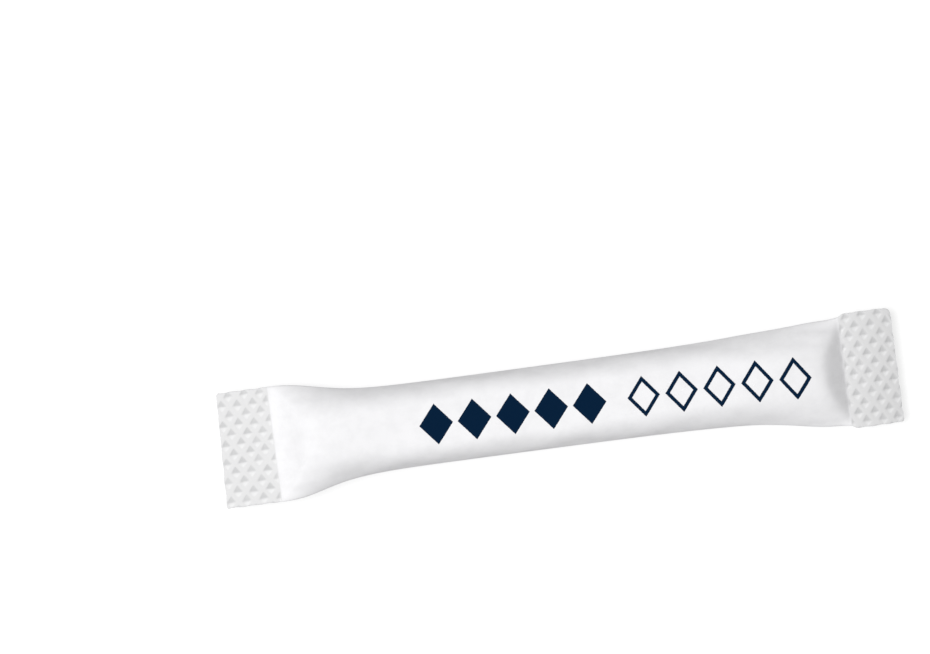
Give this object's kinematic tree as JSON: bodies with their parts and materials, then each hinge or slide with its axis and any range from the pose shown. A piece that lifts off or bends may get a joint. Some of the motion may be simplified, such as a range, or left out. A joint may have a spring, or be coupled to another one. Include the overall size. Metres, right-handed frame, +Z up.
{
  "type": "sugar stick sachet",
  "caption": "Slim paper stick filled with sugar, pressed flat and embossed at both ends, lying on its back seam, with a plain dark blue pattern along its front.",
  "frame": {"origin": "on the surface the stick lies on, under the middle of its bounding box", "axes": "+X along the stick towards the end whose filling is packed tight, +Y across it, +Z up through the printed front"},
  "size_m": [0.1154, 0.0202, 0.0106],
  "materials": {
    "printed_paper": "satin white paper with dark blue print on the front"
  },
  "bodies": {
    "root": {"sugar_stick": "printed_paper"}
  },
  "joints": []
}
